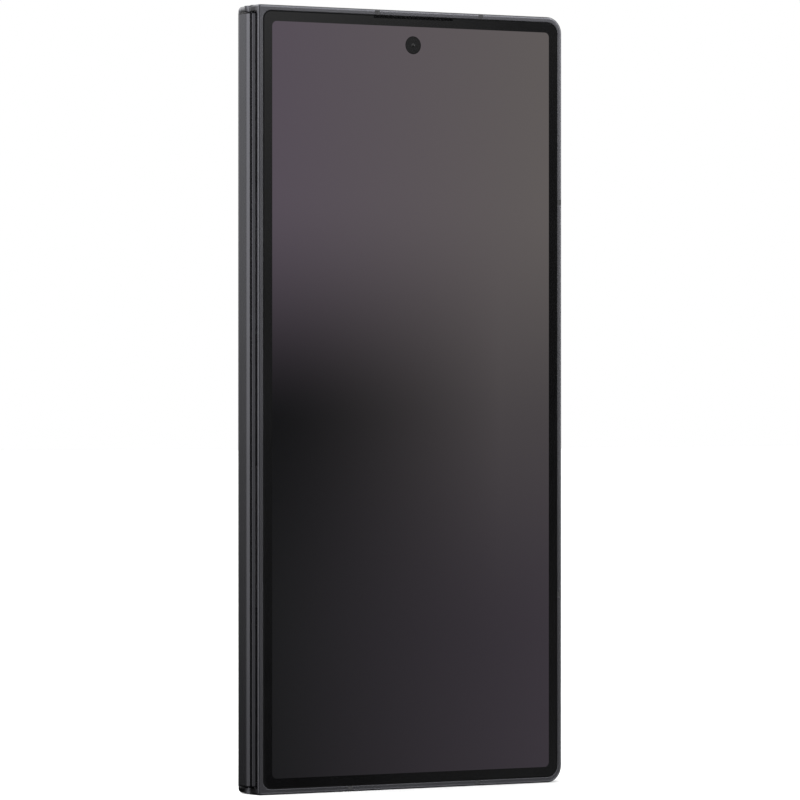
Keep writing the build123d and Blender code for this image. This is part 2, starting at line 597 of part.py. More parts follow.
def save_rear_half():
    """Camera half."""
    frame = rim(*REAR_RIM)
    frame -= rounded(*REAR_CAVITY, CAVITY_CORNER, Axis.Y)
    frame = frame + [across(x, z, BOSS_RADIUS, *REAR_BOSS_DEPTHS) for x, z in REAR_SCREW_XZ]
    frame -= screw_holes(REAR_SCREW_XZ, *REAR_SCREW_HOLE)
    frame -= across(*INNER_CAMERA_XZ, INNER_CAMERA_HOLE, 1, REAR_CAVITY[1][0] + OVERCUT)
    for z in (VOLUME_KEY_Z, SIDE_KEY_Z):
        slot_x = (REAR_CAVITY[0][1] - OVERCUT, EDGE_X + 1)
        slot_round = KEY_CAP_ROUND + KEY_PLAY
        frame -= rounded(slot_x, grown(KEY_DEPTHS, KEY_PLAY), grown(z, KEY_PLAY), slot_round, Axis.X)
    usb_x = (-USB_HALF_WIDTH, USB_HALF_WIDTH)
    usb_depth = (USB_DEPTH - USB_HALF_DEPTH, USB_DEPTH + USB_HALF_DEPTH)
    bore_x, bore_depth = grown(usb_x, USB_PLAY), grown(usb_depth, USB_PLAY)
    bore_z = (-1, USB_Z[1] + USB_PLAY)
    frame -= rounded(bore_x, bore_depth, bore_z, USB_ROUND + USB_PLAY, Axis.Z)
    for x in SOUND_HOLE_X:
        frame -= along(x, BOTTOM_HOLE_DEPTH, SOUND_HOLE_RADIUS, BOTTOM_HOLE_Z)
    frame -= along(MIC_HOLE_X, BOTTOM_HOLE_DEPTH, MIC_HOLE_RADIUS, BOTTOM_HOLE_Z)
    camera_hole = across(*INNER_CAMERA_XZ, INNER_CAMERA_HOLE, 0, 2)
    support_holes = camera_hole + block(*USB_NOTCH)
    save_half_common("rear", Part, antenna_breaks(REAR_ANTENNA_SIDE_Z), frame, support_holes, camera_hole)

    gears = [Pos(AXIS_X, AXIS_Y, 0) * gear(-90 + 180 / GEAR_TEETH, z) for z in GEAR_Z]
    save("rear_gears", Part() + gears)

    through = (SKIN_POCKET_DEPTH - OVERCUT, RING_FLANGE[2] + 1)
    glass = skin() - across(*FLASH_XZ, FLASH_RADIUS + FLASH_PLAY, *through)
    island = rounded(ISLAND_X, ISLAND_DEPTHS, ISLAND_Z, ISLAND_ROUND, Axis.Y)
    island = fillet(island.faces().sort_by(Axis.Y)[-1].edges(), ISLAND_EDGE)
    rings = []
    discs = []
    modules = []
    for z in LENS_Z:
        glass -= across(LENS_X, z, GLASS_HOLE, *through)
        island -= across(LENS_X, z, ISLAND_BORE, *through)
        flange = across(LENS_X, z, *RING_FLANGE)
        flange = fillet(flange.faces().sort_by(Axis.Y)[-1].edges(), RING_EDGE)
        ring = flange + across(LENS_X, z, *RING_SLEEVE)
        rings.append(ring - across(LENS_X, z, RING_HOLE, *through))
        discs.append(across(LENS_X, z, *LENS_DISC))
        modules.append(camera_base(LENS_X, z, *MODULE_BASE) + across(LENS_X, z, *MODULE_BARREL))
    save("back_glass", glass)
    save("camera_island", island)
    save("camera_rings", Part() + rings)
    save("camera_lenses", Part() + discs)
    save("camera_modules", Part() + modules)
    save("flash_window", across(*FLASH_XZ, FLASH_RADIUS, *FLASH_DEPTHS))

    camera = across(*INNER_CAMERA_XZ, INNER_CAMERA_RADIUS, *INNER_CAMERA_DEPTHS)
    save("inner_camera", camera + camera_base(*INNER_CAMERA_XZ, *INNER_CAMERA_BASE))
    save("rear_battery", rounded(*REAR_BATTERY, BATTERY_CORNER, Axis.Y))
    for node, size in (("main_board", MAIN_BOARD), ("lower_board", LOWER_BOARD)):
        save(node, rounded(*size, PART_CORNER, Axis.Y) - screw_holes(REAR_SCREW_XZ, *grown(size[1], 1)))
    save("main_shield_cans", shield_cans(REAR_CANS, REAR_CAN_DEPTHS, False))
    save("rear_screws", screws(REAR_SCREW_XZ, REAR_SCREW_SHANK, REAR_SCREW_HEAD))
    save("rear_magnets", magnets(REAR_MAGNETS, REAR_MAGNET_DEPTHS))

    coil_x, coil_z = COIL_XZ
    turns = []
    for radius in COIL_TURNS:
        turn = across(coil_x, coil_z, radius + COIL_TRACK, *COIL_DEPTHS)
        turns.append(turn - across(coil_x, coil_z, radius, *COIL_DEPTHS))
    half, low, high = COIL_LINK
    link = block((coil_x - half, coil_x + half), COIL_DEPTHS, (coil_z + low, coil_z + high))
    save("charging_coil", Part() + turns + link)
    save("coil_shield", across(coil_x, coil_z, COIL_SHEET_RADIUS, *COIL_SHEET_DEPTHS))
    save("loudspeaker", rounded(*LOUDSPEAKER, PART_CORNER, Axis.Y))
    save("vibration_motor", rounded(*MOTOR, MOTOR_ROUND, Axis.Y))

    shell = rounded(usb_x, usb_depth, USB_Z, USB_ROUND, Axis.Z)
    mouth_x, mouth_depth = grown(usb_x, -USB_WALL), grown(usb_depth, -USB_WALL)
    mouth = rounded(mouth_x, mouth_depth, (-1, USB_FLOOR_Z), USB_ROUND - USB_WALL, Axis.Z)
    save("usb_shell", shell - mouth)
    save("usb_tongue", block(*TONGUE) + rounded(*TONGUE_BASE, TONGUE_BASE_ROUND, Axis.Z))

    strip = block(*SWITCH_STRIP)
    depth = sum(KEY_DEPTHS) / 2
    save("key_switches", strip + [sideways(depth, z, *SWITCH_DOME) for z in SWITCH_DOME_Z])
    save("volume_key", key(VOLUME_KEY_Z))
    save("side_key", key(SIDE_KEY_Z))


os.makedirs("parts", exist_ok=True)
save_hinge()
save_front_half()
save_rear_half()
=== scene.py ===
"""Looks for the folding phone: materials, detailed screens and lenses, studio and camera."""

import json
import math

import bmesh
import bpy
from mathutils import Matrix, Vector


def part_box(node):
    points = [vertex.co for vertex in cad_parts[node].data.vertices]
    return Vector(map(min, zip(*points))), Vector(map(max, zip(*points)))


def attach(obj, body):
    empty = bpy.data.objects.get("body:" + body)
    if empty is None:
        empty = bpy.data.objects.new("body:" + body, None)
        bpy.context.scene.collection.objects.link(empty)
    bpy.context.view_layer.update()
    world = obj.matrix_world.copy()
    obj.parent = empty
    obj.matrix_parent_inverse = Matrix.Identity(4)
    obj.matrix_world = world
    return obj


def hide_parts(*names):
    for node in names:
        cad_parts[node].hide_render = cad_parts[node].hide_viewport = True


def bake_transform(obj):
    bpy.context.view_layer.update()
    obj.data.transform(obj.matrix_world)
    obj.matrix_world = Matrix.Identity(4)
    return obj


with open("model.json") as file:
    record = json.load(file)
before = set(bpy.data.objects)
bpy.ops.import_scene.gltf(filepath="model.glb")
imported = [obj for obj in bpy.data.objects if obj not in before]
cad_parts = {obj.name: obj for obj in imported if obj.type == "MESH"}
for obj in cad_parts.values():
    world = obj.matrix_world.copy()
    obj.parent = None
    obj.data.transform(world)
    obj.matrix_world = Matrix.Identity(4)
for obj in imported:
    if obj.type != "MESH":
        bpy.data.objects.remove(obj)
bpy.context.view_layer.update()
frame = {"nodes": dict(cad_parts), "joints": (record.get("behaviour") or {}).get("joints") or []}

MM = 0.001

# ---- the design frame of the part, in mm, from the record and the CAD pieces ----
joints = {j["name"]: j for j in frame["joints"]}
REAR_AXIS = [v / MM for v in joints["rear_half_fold"]["pos_m"]]
FRONT_AXIS = [v / MM for v in joints["front_half_fold"]["pos_m"]]
AXIS_X = REAR_AXIS[0]
MID_Y = (REAR_AXIS[1] + FRONT_AXIS[1]) / 2
AXIS_GAP = (REAR_AXIS[1] - FRONT_AXIS[1]) / 2
DRAWN_AXIS_X = -34.0
SHIFT_X = AXIS_X - DRAWN_AXIS_X


def node_box(name):
    """Lowest and highest corner of a CAD node, in mm."""
    low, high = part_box(name)
    return [v / MM for v in low], [v / MM for v in high]


# ---------------------------------------------------------------- materials


def srgb(r, g, b):
    """Linear colour from 0-255 display values."""

    def linear(v):
        v = v / 255
        return v / 12.92 if v <= 0.04045 else ((v + 0.055) / 1.055) ** 2.4

    return (linear(r), linear(g), linear(b), 1.0)


def scaled(colour, factor, lift=0.0):
    """The colour made lighter or darker, kept within range."""
    return tuple(min(1.0, c * factor + lift) for c in colour[:3]) + (1.0,)


class Tree:
    """The node tree of a material or world, with short ways to add and join nodes."""

    def __init__(self, name, owners=bpy.data.materials):
        self.owner = owners.new(name)
        self.owner.use_nodes = True
        self.nodes = self.owner.node_tree.nodes
        self.links = self.owner.node_tree.links
        self.shader = self.nodes.get("Principled BSDF")

    def add(self, kind, **inputs):
        """New node with its inputs set or linked."""
        node = self.nodes.new(kind)
        for key, value in inputs.items():
            key = key.replace("_", " ")
            if hasattr(value, "is_output"):
                self.links.new(value, node.inputs[key])
            else:
                node.inputs[key].default_value = value
        return node

    def coordinates(self, stretch=(1, 1, 1)):
        """Object coordinates in metres, scaled by stretch."""
        source = self.nodes.new("ShaderNodeTexCoord").outputs["Object"]
        mapping = self.nodes.new("ShaderNodeMapping")
        mapping.inputs["Scale"].default_value = stretch
        self.links.new(source, mapping.inputs["Vector"])
        return mapping.outputs["Vector"]

    def noise(self, vector, scale, detail=3.0, roughness=0.55):
        """Noise texture's value, mostly between 0.3 and 0.7."""
        node = self.add("ShaderNodeTexNoise", Vector=vector, Scale=scale, Detail=detail, Roughness=roughness)
        return node.outputs["Fac"]

    def spread(self, value, low, high, source=(0.3, 0.7)):
        """Straight ramp from low to high over the source's range, clamped at both ends."""
        node = self.nodes.new("ShaderNodeMapRange")
        self.links.new(value, node.inputs["Value"])
        node.inputs["From Min"].default_value, node.inputs["From Max"].default_value = source
        node.inputs["To Min"].default_value, node.inputs["To Max"].default_value = low, high
        return node.outputs["Result"]

    def math(self, operation, a, b=0.0, c=None, clamp=False):
        """Result of a math node on numbers or outputs."""
        node = self.nodes.new("ShaderNodeMath")
        node.operation = operation
        node.use_clamp = clamp
        for slot, value in zip(node.inputs, (a, b, c)):
            if value is None:
                continue
            if hasattr(value, "is_output"):
                self.links.new(value, slot)
            else:
                slot.default_value = value
        return node.outputs["Value"]

    def mix(self, factor, a, b):
        """Colour a where factor is 0, b where it is 1."""
        node = self.nodes.new("ShaderNodeMix")
        node.data_type = "RGBA"
        for slot, value in ((node.inputs["Factor"], factor), (node.inputs[6], a), (node.inputs[7], b)):
            if hasattr(value, "is_output"):
                self.links.new(value, slot)
            else:
                slot.default_value = value
        return node.outputs[2]

    def bump(self, height, distance, strength=1.0, normal=None):
        """Surface direction tilted by the height value."""
        node = self.nodes.new("ShaderNodeBump")
        node.inputs["Distance"].default_value = distance
        node.inputs["Strength"].default_value = strength
        self.links.new(height, node.inputs["Height"])
        if normal is not None:
            self.links.new(normal, node.inputs["Normal"])
        return node.outputs["Normal"]

    def set(self, **sockets):
        """Set or link inputs of the main shader; gives the material."""
        for key, value in sockets.items():
            socket = self.shader.inputs[key.replace("_", " ")]
            if hasattr(value, "is_output"):
                self.links.new(value, socket)
            else:
                socket.default_value = value
        return self.owner


def blend_values(tree, share, a, b):
    """a where share is 0, b where it is 1."""
    node = tree.nodes.new("ShaderNodeMix")
    for slot, value in zip((node.inputs[0], node.inputs[2], node.inputs[3]), (share, a, b)):
        if hasattr(value, "is_output"):
            tree.links.new(value, slot)
        else:
            slot.default_value = value
    return node.outputs[0]


def smooth_step(tree, value, start, end, low=0.0, high=1.0):
    """low before start, high after end, eased between them."""
    node = tree.nodes.new("ShaderNodeMapRange")
    node.interpolation_type = "SMOOTHSTEP"
    tree.links.new(value, node.inputs["Value"])
    node.inputs["From Min"].default_value, node.inputs["From Max"].default_value = start, end
    node.inputs["To Min"].default_value, node.inputs["To Max"].default_value = low, high
    return node.outputs["Result"]


BEVEL_SAMPLES = 4
EDGE_GAIN = 4.0
RUBBED = (1.5, 0.01)
METAL_CLOUD_SCALE = 38.0
METAL_WEAR_SCALE = 700.0
METAL_BUMP = (0.000002, 0.25)
PLASTIC_CLOUD_SCALE = 120.0
PLASTIC_BEVEL = 0.0001


def edge_mask(tree, radius):
    """1 on rounded edges, 0 on flats: how far a bevelled normal leans from the true one."""
    bevel = tree.nodes.new("ShaderNodeBevel")
    bevel.samples = BEVEL_SAMPLES
    bevel.inputs["Radius"].default_value = radius
    geometry = tree.nodes.new("ShaderNodeNewGeometry")
    dot = tree.nodes.new("ShaderNodeVectorMath")
    dot.operation = "DOT_PRODUCT"
    tree.links.new(bevel.outputs["Normal"], dot.inputs[0])
    tree.links.new(geometry.outputs["Normal"], dot.inputs[1])
    lean = tree.math("SUBTRACT", 1.0, dot.outputs["Value"])
    return tree.math("MULTIPLY", lean, EDGE_GAIN, clamp=True), bevel.outputs["Normal"]


def metal(name, colour, roughness, brush=(1, 1, 1), grain=5200.0, wear=0.3, bevel=0.00006, paint_light=None):
    """Anodised or bare metal: fine blasted grain, slight clouding and edges rubbed a little brighter; the
    optional colour step paints highlight and shade into the colour.
    """
    tree = Tree(name)
    fine = tree.noise(tree.coordinates(brush), grain, 2.0, 0.6)
    cloud = tree.noise(tree.coordinates(), METAL_CLOUD_SCALE, 2.0)
    edges, soft_normal = edge_mask(tree, bevel)
    tone = tree.mix(tree.spread(cloud, 0.0, 1.0), scaled(colour, 0.95), scaled(colour, 1.05))
    patchy = tree.spread(tree.noise(tree.coordinates(), METAL_WEAR_SCALE), 0.5 * wear, 1.5 * wear)
    tone = tree.mix(tree.math("MULTIPLY", edges, patchy), tone, scaled(colour, *RUBBED))
    if paint_light is not None:
        tone = paint_light(tree, tone)
    clouded = tree.spread(cloud, roughness - 0.01, roughness + 0.01)
    return tree.set(
        Base_Color=tone,
        Metallic=1.0,
        Roughness=tree.math("ADD", tree.spread(fine, -0.02, 0.02), clouded),
        Normal=tree.bump(fine, *METAL_BUMP, soft_normal),
    )


def plastic(name, colour, roughness, grain=3200.0, depth=0.000006, coat=0.0, specular=0.5):
    """Moulded or painted plastic: fine texture, slight tone change, softened edges."""
    tree = Tree(name)
    where = tree.coordinates()
    fine = tree.noise(where, grain, 3.0, 0.6)
    cloud = tree.noise(where, PLASTIC_CLOUD_SCALE, 2.0)
    edges, soft_normal = edge_mask(tree, PLASTIC_BEVEL)
    tone = tree.mix(tree.spread(cloud, 0.0, 1.0), scaled(colour, 0.85), scaled(colour, 1.15, 0.002))
    tone = tree.mix(tree.math("MULTIPLY", edges, 0.5), tone, scaled(colour, *RUBBED))
    return tree.set(
        Base_Color=tone,
        Roughness=tree.spread(fine, roughness - 0.05, roughness + 0.05),
        Normal=tree.bump(fine, depth, 0.5, soft_normal),
        Coat_Weight=coat,
        Specular_IOR_Level=specular,
    )


GRAPHITE = (0.105, 0.105, 0.115, 1.0)
# near-black painted shade, laid into grooves, seams and the dark edge lines
PAINTED_SHADE = (0.007, 0.007, 0.008, 1.0)

# sizes in mm that the masks below are measured from
SPINE_RADIUS = 2.4
SPINE_LOW, SPINE_HIGH = node_box("spine_cover")
MID_Z = (SPINE_LOW[2] + SPINE_HIGH[2]) / 2
SPINE_HALF = (SPINE_HIGH[2] - SPINE_LOW[2]) / 2
FRAME_LOW, FRAME_HIGH = node_box("front_frame")
FACE_DEPTH = MID_Y - FRAME_LOW[1]
FRAME_REACH = FRAME_HIGH[0] - AXIS_X
FRAME_HALF = (FRAME_HIGH[2] - FRAME_LOW[2]) / 2
FRAME_CORNER = 3.4

# painted shade in the spine's grooves and end seams
GROOVE_RADII = (SPINE_RADIUS - 0.06, SPINE_RADIUS - 0.02)
SPINE_SEAM_Z = (SPINE_HALF - 0.34, SPINE_HALF - 0.27)

# shade on the frames' end walls next to the spine
WALL_SHADE = (0.8, 0.35)
WALL_SHADE_Z = (SPINE_HALF + 0.3, SPINE_HALF + 1.2)
WALL_SEAM_Z = (SPINE_HALF + 0.38, SPINE_HALF + 0.48)
WALL_START_Z = (SPINE_HALF + 0.05, SPINE_HALF + 0.1)
WALL_X = (-0.9, -0.8)
WALL_Y = (AXIS_GAP + SPINE_RADIUS - 0.5, AXIS_GAP + SPINE_RADIUS - 0.4)

# painted highlight and painted dark reflection lines round the frames' faces; slopes are the share of y in
# the surface's direction
FACING_SLOPE = (0.45, 0.55)
FLAT_SLOPE = (0.85, 0.92)
HINGE_SIDE_X = (-0.75, -0.65)
HINGE_LINE_DEPTH = (FACE_DEPTH - 0.17, FACE_DEPTH - 0.11)
DARK_EDGE = (0.14, 0.20)
LINE_OUTER = (0.20, 0.25)
LINE_INNER = (0.44, 0.50)
# how much brighter the painted highlight is, and how strongly the painted dark line darkens
HIGHLIGHT_GAIN = 2.2
EDGE_SHADE = 0.55


def metres(pair):
    """A pair of mm values in metres."""
    return tuple(v * MM for v in pair)


def from_spine(tree):
    """Distances in metres from the spine: x from the fold axes, y from mid-thickness, z from mid-height."""
    split = tree.nodes.new("ShaderNodeSeparateXYZ")
    tree.links.new(tree.coordinates(), split.inputs["Vector"])
    x = tree.math("SUBTRACT", split.outputs["X"], AXIS_X * MM)
    y = tree.math("ABSOLUTE", tree.math("SUBTRACT", split.outputs["Y"], MID_Y * MM))
    z = tree.math("ABSOLUTE", tree.math("SUBTRACT", split.outputs["Z"], MID_Z * MM))
    return x, y, z


def rises(tree, value, span_mm):
    """0 before the span of mm, 1 after it."""
    return tree.spread(value, 0.0, 1.0, metres(span_mm))


def falls(tree, value, span_mm):
    """1 before the span of mm, 0 after it."""
    return tree.spread(value, 1.0, 0.0, metres(span_mm))


def length(tree, a, b):
    """Length of the vector (a, b)."""
    squared = tree.math("ADD", tree.math("MULTIPLY", a, a), tree.math("MULTIPLY", b, b))
    return tree.math("SQRT", squared)


def groove_shade_mask(tree):
    """Painted shade: 1 in the spine's grooves, on its inside and along its end seams, 0 on its outer face.
    """
    x, y, z = from_spine(tree)
    y = tree.math("MAXIMUM", tree.math("SUBTRACT", y, AXIS_GAP * MM), 0.0)
    deep = falls(tree, length(tree, x, y), GROOVE_RADII)
    return tree.math("MAXIMUM", deep, rises(tree, z, SPINE_SEAM_Z))


def end_wall_mask(tree):
    """Shade gathered on the frames' end walls beyond the spine, deepest next to the seam."""
    x, y, z = from_spine(tree)
    shade = tree.spread(z, *WALL_SHADE, metres(WALL_SHADE_Z))
    shade = tree.math("MAXIMUM", shade, falls(tree, z, WALL_SEAM_Z))
    shade = tree.math("MULTIPLY", shade, rises(tree, z, WALL_START_Z))
    beside_spine = tree.math("MULTIPLY", falls(tree, x, WALL_X), falls(tree, y, WALL_Y))
    return tree.math("MULTIPLY", shade, beside_spine)


def rim_distance(tree, x, z):
    """Distance in metres inwards from the frames' outline, along their free edges and round corners."""
    past_x = tree.math("SUBTRACT", x, (FRAME_REACH - FRAME_CORNER) * MM)
    past_z = tree.math("SUBTRACT", z, (FRAME_HALF - FRAME_CORNER) * MM)
    out = length(tree, tree.math("MAXIMUM", past_x, 0.0), tree.math("MAXIMUM", past_z, 0.0))
    within = tree.math("MINIMUM", tree.math("MAXIMUM", past_x, past_z), 0.0)
    return tree.math("SUBTRACT", FRAME_CORNER * MM, tree.math("ADD", out, within))


def painted_rim_lines(tree):
    """Two painted strips round each frame's face: a bright highlight, and a dark reflection between it and
    the side.
    """
    x, depth, z = from_spine(tree)
    split = tree.nodes.new("ShaderNodeSeparateXYZ")
    tree.links.new(tree.nodes.new("ShaderNodeTexCoord").outputs["Normal"], split.inputs["Vector"])
    slope = tree.math("ABSOLUTE", split.outputs["Y"])
    facing = tree.spread(slope, 0.0, 1.0, FACING_SLOPE)
    chamfer = tree.math("MULTIPLY", facing, tree.spread(slope, 1.0, 0.0, FLAT_SLOPE))
    hinge_side = falls(tree, x, HINGE_SIDE_X)

    hinge_bright = tree.math("MULTIPLY", chamfer, falls(tree, depth, HINGE_LINE_DEPTH))
    hinge_dark = tree.math("SUBTRACT", chamfer, hinge_bright)

    distance = rim_distance(tree, x, z)
    line = tree.math("MULTIPLY", rises(tree, distance, LINE_OUTER), facing)
    line = tree.math("MULTIPLY", line, falls(tree, distance, LINE_INNER))
    edge = tree.math("MULTIPLY", falls(tree, distance, DARK_EDGE), chamfer)
    bright = blend_values(tree, hinge_side, line, hinge_bright)
    dark = blend_values(tree, hinge_side, edge, hinge_dark)
    return bright, dark


def spine_painted_shade(tree, tone):
    """The spine's colour with shade painted dark into its grooves and end seams."""
    return tree.mix(groove_shade_mask(tree), tone, PAINTED_SHADE)


def frame_painted_light(tree, tone):
    """The frames' colour with a painted highlight line and a painted dark line round their faces, and
    painted shade on their end walls.
    """
    bright, dark = painted_rim_lines(tree)
    tone = tree.mix(bright, tone, scaled(GRAPHITE, HIGHLIGHT_GAIN))
    tone = tree.mix(tree.math("MULTIPLY", dark, EDGE_SHADE), tone, PAINTED_SHADE)
    return tree.mix(end_wall_mask(tree), tone, PAINTED_SHADE)


# the frames and the spine get painted highlight and painted shade in their colour
frame_metal = metal("frame_metal", GRAPHITE, 0.24, wear=0.12, bevel=0.0002, paint_light=frame_painted_light)
spine_metal = metal("spine_metal", GRAPHITE, 0.22, wear=0.12, bevel=0.0003, paint_light=spine_painted_shade)
blackened = metal("blackened", (0.007, 0.007, 0.0075, 1.0), 0.42)
steel = metal("steel", (0.52, 0.52, 0.53, 1.0), 0.28, brush=(1, 1, 0.15))
dark_steel = metal("dark_steel", (0.30, 0.30, 0.31, 1.0), 0.34)
shield_metal = metal("shield_metal", (0.60, 0.60, 0.60, 1.0), 0.36)
magnet_metal = metal("magnet_metal", (0.62, 0.62, 0.64, 1.0), 0.2)
plate_metal = metal("plate_metal", (0.36, 0.36, 0.37, 1.0), 0.42, brush=(0.2, 1, 1))
copper = metal("copper", (0.75, 0.38, 0.20, 1.0), 0.3)
camera_metal = metal("camera_metal", (0.075, 0.075, 0.082, 1.0), 0.24)
break_plastic = plastic("break_plastic", (0.022, 0.022, 0.024, 1.0), 0.45, specular=0.4)
# black adhesive; its near-black, barely glossy colour also paints the shade in the gaps round the glass and
# on the cover glass's edge
glue_and_gap_shade = plastic("glue_and_gap_shade", (0.0015, 0.0015, 0.0016, 1.0), 0.6, specular=0.1)
black_plastic = plastic("black_plastic", (0.012, 0.012, 0.013, 1.0), 0.45)
trim_plastic = plastic("trim_plastic", (0.008, 0.008, 0.009, 1.0), 0.38)
battery_wrap = plastic("battery_wrap", (0.035, 0.035, 0.038, 1.0), 0.5)
ferrite = plastic("ferrite", (0.055, 0.055, 0.06, 1.0), 0.6)


def board_material():
    """Green board with copper-coloured tracks under the lacquer."""
    tree = Tree("circuit_board")
    where = tree.coordinates()
    brick = tree.add("ShaderNodeTexBrick", Vector=where, Scale=420.0, Mortar_Size=0.012)
    brick.inputs["Color1"].default_value = (0.010, 0.060, 0.032, 1.0)
    brick.inputs["Color2"].default_value = (0.008, 0.050, 0.028, 1.0)
    brick.inputs["Mortar"].default_value = (0.10, 0.14, 0.06, 1.0)
    fine = tree.noise(where, 2500.0)
    return tree.set(
        Base_Color=brick.outputs["Color"],
        Roughness=tree.spread(fine, 0.28, 0.42),
        Normal=tree.bump(fine, 0.00001, 0.4),
    )


circuit_board = board_material()


def back_glass_material():
    """Etched matt glass: near-black with a slight cool tint and a satin face."""
    tree = Tree("back_glass")
    where = tree.coordinates()
    fine = tree.noise(where, 5200.0, 2.0, 0.5)
    cloud = tree.noise(where, 28.0, 2.0)
    dark, light = (0.0235, 0.0235, 0.026, 1.0), (0.0265, 0.0265, 0.030, 1.0)
    tone = tree.mix(tree.spread(cloud, 0.0, 1.0), dark, light)
    return tree.set(
        Base_Color=tone,
        Roughness=tree.spread(fine, 0.36, 0.46),
        Normal=tree.bump(fine, 0.000004, 0.3),
        Specular_IOR_Level=0.6,
    )


back_glass = back_glass_material()


def cover_black_material():
    """The printed black border under the cover glass, under a polished face."""
    tree = Tree("cover_black")
    cloud = tree.noise(tree.coordinates(), 60.0, 2.0)
    dark, light = (0.0010, 0.0010, 0.0012, 1.0), (0.0018, 0.0018, 0.0020, 1.0)
    tone = tree.mix(tree.spread(cloud, 0.0, 1.0), dark, light)
    return tree.set(Base_Color=tone, Roughness=tree.spread(cloud, 0.035, 0.055), Specular_IOR_Level=0.5)


cover_black = cover_black_material()


TOP_TONES = (srgb(83, 75, 84), srgb(94, 89, 88))
MIDDLE_TONES = (srgb(12, 12, 13), srgb(73, 69, 70))
LOW_TONES = (srgb(26, 26, 27), srgb(56, 51, 57))
DARK_REACH = 0.82
DARK_CURVE = 1.6
LOW_TO_MIDDLE = (0.16, 0.60)
MIDDLE_TO_TOP = (0.46, 0.78)


def wallpaper(tree, across, up):
    """Plain soft gradient in greys: across and up run 0 to 1 over the picture."""
    swell = tree.math("POWER", tree.spread(across, 0.0, 1.0, (0.0, DARK_REACH)), DARK_CURVE)
    top = tree.mix(across, *TOP_TONES)
    middle = tree.mix(swell, *MIDDLE_TONES)
    low = tree.mix(across, *LOW_TONES)
    lower = tree.mix(smooth_step(tree, up, *LOW_TO_MIDDLE), low, middle)
    return tree.mix(smooth_step(tree, up, *MIDDLE_TO_TOP), lower, top)


def screen_material(name, picture):
    """Lit screen behind polished glass; picture gives its colour from the UV map."""
    tree = Tree(name)
    uv = tree.nodes.new("ShaderNodeUVMap")
    uv.uv_map = "picture"
    split = tree.nodes.new("ShaderNodeSeparateXYZ")
    tree.links.new(uv.outputs["UV"], split.inputs["Vector"])
    colour = picture(tree, split.outputs["X"], split.outputs["Y"])
    return tree.set(
        Base_Color=(0.001, 0.001, 0.0012, 1.0),
        Roughness=0.04,
        Emission_Color=colour,
        Emission_Strength=1.0,
        Specular_IOR_Level=0.1,
    )


cover_screen = screen_material("cover_screen", wallpaper)
main_screen = screen_material("main_screen", wallpaper)


def lens_material(name, tint, roughness, coat=1.0, specular=0.9):
    """Coated lens glass."""
    tree = Tree(name)
    cloud = tree.noise(tree.coordinates(), 90.0, 2.0)
    tone = tree.mix(tree.spread(cloud, 0.0, 1.0), tint, scaled(tint, 1.4))
    return tree.set(
        Base_Color=tone,
        Roughness=tree.spread(cloud, roughness * 0.9, roughness * 1.1),
        Coat_Weight=coat,
        Coat_Roughness=0.03,
        Specular_IOR_Level=specular,
    )


lens_black = lens_material("lens_black", (0.0015, 0.0015, 0.002, 1.0), 0.06)
lens_iris = lens_material("lens_iris", (0.006, 0.006, 0.008, 1.0), 0.2)
lens_coating = lens_material("lens_coating", (0.003, 0.005, 0.012, 1.0), 0.05)
hole_rim = lens_material("hole_rim", (0.0010, 0.0010, 0.0011, 1.0), 0.05, coat=0.0, specular=0.32)
hole_window = lens_material("hole_window", (0.0016, 0.0016, 0.0018, 1.0), 0.05, coat=0.0, specular=0.48)
flash_plastic = plastic("flash_plastic", (0.33, 0.29, 0.19, 1.0), 0.25, grain=1500.0, coat=0.6)

NODE_MATERIALS = {
    spine_metal: ["spine_cover"],
    frame_metal: ["front_frame", "rear_frame", "volume_key", "side_key", "sim_tray"],
    blackened: ["hinge_blocks", "torque_plates", "earpiece_grille", "front_gears", "rear_gears"],
    steel: [
        "display_support_strip",
        "spine_screws",
        "front_screws",
        "rear_screws",
        "usb_shell",
        "vibration_motor",
        "key_switches",
    ],
    dark_steel: ["front_shaft", "rear_shaft"],
    shield_metal: ["front_shield_cans", "main_shield_cans", "sim_reader"],
    magnet_metal: ["front_magnets", "rear_magnets"],
    plate_metal: ["front_support_plate", "rear_support_plate"],
    copper: ["charging_coil"],
    camera_metal: ["camera_island", "camera_rings"],
    break_plastic: ["front_antenna_breaks", "rear_antenna_breaks"],
    black_plastic: [
        "cover_camera",
        "earpiece_speaker",
        "camera_modules",
        "inner_camera",
        "loudspeaker",
        "usb_tongue",
        "cover_display",
    ],
    trim_plastic: ["front_screen_trim", "rear_screen_trim"],
    battery_wrap: ["front_battery", "rear_battery"],
    ferrite: ["coil_shield"],
    circuit_board: ["front_board", "main_board", "lower_board"],
    back_glass: ["back_glass"],
    flash_plastic: ["flash_window"],
    lens_black: ["camera_lenses"],
    main_screen: ["main_display_front", "main_display_rear", "main_display_fold"],
    cover_black: ["cover_glass"],
}
for material, names in NODE_MATERIALS.items():
    for name in names:
        mesh = frame["nodes"][name].data
        mesh.materials.clear()
        mesh.materials.append(material)


# ---------------------------------------------------------------- mesh helpers


def new_object(name, bm, materials):
    """Scene object from a bmesh, in metres."""
    mesh = bpy.data.meshes.new(name)
    bm.to_mesh(mesh)
    bm.free()
    for material in materials:
        mesh.materials.append(material)
    obj = bpy.data.objects.new(name, mesh)
    bpy.context.scene.collection.objects.link(obj)
    return obj


